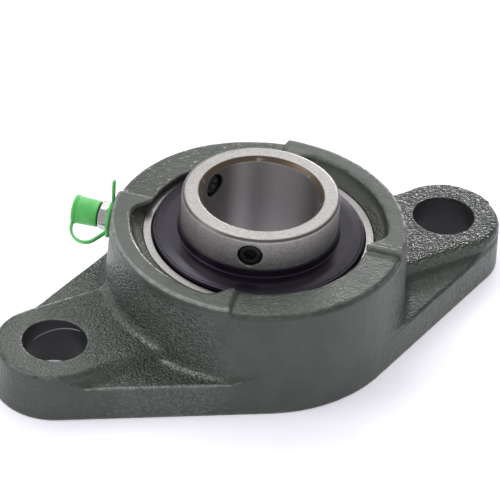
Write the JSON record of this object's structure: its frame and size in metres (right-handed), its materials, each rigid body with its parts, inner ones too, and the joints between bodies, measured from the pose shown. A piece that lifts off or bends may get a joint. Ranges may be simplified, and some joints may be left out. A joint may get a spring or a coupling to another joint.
{
  "type": "two-bolt flange bearing",
  "caption": "Two-bolt oval flange bearing: painted cast housing with a self-aligning ball bearing insert, set screw locking and a capped grease nipple.",
  "frame": {"origin": "on the shaft axis at the machined mounting face, midway between the bolt holes", "axes": "+Z along the shaft from the mounting face towards the set screws, +X along the line of the bolt holes"},
  "size_m": [0.148, 0.0788, 0.0402],
  "materials": {
    "housing_paint": "semi-gloss paint over sand casting texture",
    "ring_steel": "ground",
    "ball_steel": "polished",
    "cage_steel": "pressed, plain",
    "seal_rubber": "matt",
    "flinger_black": "satin black",
    "screw_black": "black oxide",
    "nipple_zinc": "zinc plated",
    "cap_green": "satin"
  },
  "bodies": {
    "housing_body": {"housing": "housing_paint", "grease_nipple": "nipple_zinc", "check_spring": "cage_steel", "strap_ring": "cap_green", "cap_strap": "cap_green"},
    "outer_body": {"outer_ring": "ring_steel", "seal_front": "seal_rubber", "seal_back": "seal_rubber"},
    "inner_body": {"inner_ring": "ring_steel", "flinger_front": "flinger_black", "flinger_back": "flinger_black"},
    "cage_body": {"cage_front": "cage_steel", "cage_back": "cage_steel", "cage_rivets": "cage_steel"},
    "screw_1_body": {"set_screw_1": "screw_black"},
    "screw_2_body": {"set_screw_2": "screw_black"},
    "cap_body": {"dust_cap": "cap_green"},
    "check_body": {"check_ball": "ball_steel"},
    "ball_1_body": {"ball_1": "ball_steel"},
    "ball_2_body": {"ball_2": "ball_steel"},
    "ball_3_body": {"ball_3": "ball_steel"},
    "ball_4_body": {"ball_4": "ball_steel"},
    "ball_5_body": {"ball_5": "ball_steel"},
    "ball_6_body": {"ball_6": "ball_steel"},
    "ball_7_body": {"ball_7": "ball_steel"},
    "ball_8_body": {"ball_8": "ball_steel"},
    "ball_9_body": {"ball_9": "ball_steel"}
  },
  "joints": [
    {"name": "align_tilt", "type": "hinge", "parent": "housing_body", "child": "outer_body", "pos_m": [0, 0, 0.018], "axis": [1, 0, 0], "range_deg": [-5, 5]},
    {"name": "inner_spin", "type": "hinge", "parent": "outer_body", "child": "inner_body", "pos_m": [0, 0, 0.018], "axis": [0, 0, 1], "continuous": true},
    {"name": "cage_spin", "type": "hinge", "parent": "outer_body", "child": "cage_body", "pos_m": [0, 0, 0.018], "axis": [0, 0, 1], "continuous": true},
    {"name": "ball_1_spin", "type": "hinge", "parent": "cage_body", "child": "ball_1_body", "pos_m": [0.023, 0, 0.018], "axis": [0, 0, 1], "continuous": true},
    {"name": "ball_2_spin", "type": "hinge", "parent": "cage_body", "child": "ball_2_body", "pos_m": [0.01762, 0.01478, 0.018], "axis": [0, 0, 1], "continuous": true},
    {"name": "ball_3_spin", "type": "hinge", "parent": "cage_body", "child": "ball_3_body", "pos_m": [0.00399, 0.02265, 0.018], "axis": [0, 0, 1], "continuous": true},
    {"name": "ball_4_spin", "type": "hinge", "parent": "cage_body", "child": "ball_4_body", "pos_m": [-0.0115, 0.01992, 0.018], "axis": [0, 0, 1], "continuous": true},
    {"name": "ball_5_spin", "type": "hinge", "parent": "cage_body", "child": "ball_5_body", "pos_m": [-0.02161, 0.00787, 0.018], "axis": [0, 0, 1], "continuous": true},
    {"name": "ball_6_spin", "type": "hinge", "parent": "cage_body", "child": "ball_6_body", "pos_m": [-0.02161, -0.00787, 0.018], "axis": [0, 0, 1], "continuous": true},
    {"name": "ball_7_spin", "type": "hinge", "parent": "cage_body", "child": "ball_7_body", "pos_m": [-0.0115, -0.01992, 0.018], "axis": [0, 0, 1], "continuous": true},
    {"name": "ball_8_spin", "type": "hinge", "parent": "cage_body", "child": "ball_8_body", "pos_m": [0.00399, -0.02265, 0.018], "axis": [0, 0, 1], "continuous": true},
    {"name": "ball_9_spin", "type": "hinge", "parent": "cage_body", "child": "ball_9_body", "pos_m": [0.01762, -0.01478, 0.018], "axis": [0, 0, 1], "continuous": true},
    {"name": "screw_1_travel", "type": "slide", "parent": "inner_body", "child": "screw_1_body", "axis": [-0.6157, -0.788, 0], "range_m": [-0.0001, 0.003]},
    {"name": "screw_2_travel", "type": "slide", "parent": "inner_body", "child": "screw_2_body", "axis": [-0.3746, 0.9272, 0], "range_m": [-0.0001, 0.003]},
    {"name": "cap_pull", "type": "slide", "parent": "housing_body", "child": "cap_body", "axis": [-0.682, 0.7314, 0], "range_m": [0, 0.005], "deforming": ["cap_strap"]},
    {"name": "check_press", "type": "slide", "parent": "housing_body", "child": "check_body", "axis": [0.682, -0.7314, 0], "range_m": [0, 0.0005], "stiffness_N_per_m": 200, "springref_m": -0.0005, "deforming": ["check_spring"]}
  ],
  "couplings": [
    {"joint": "cage_spin", "follows": "inner_spin", "ratio": 0.39647},
    {"joint": "ball_1_spin", "follows": "inner_spin", "ratio": -2.3112},
    {"joint": "ball_2_spin", "follows": "inner_spin", "ratio": -2.3112},
    {"joint": "ball_3_spin", "follows": "inner_spin", "ratio": -2.3112},
    {"joint": "ball_4_spin", "follows": "inner_spin", "ratio": -2.3112},
    {"joint": "ball_5_spin", "follows": "inner_spin", "ratio": -2.3112},
    {"joint": "ball_6_spin", "follows": "inner_spin", "ratio": -2.3112},
    {"joint": "ball_7_spin", "follows": "inner_spin", "ratio": -2.3112},
    {"joint": "ball_8_spin", "follows": "inner_spin", "ratio": -2.3112},
    {"joint": "ball_9_spin", "follows": "inner_spin", "ratio": -2.3112}
  ]
}
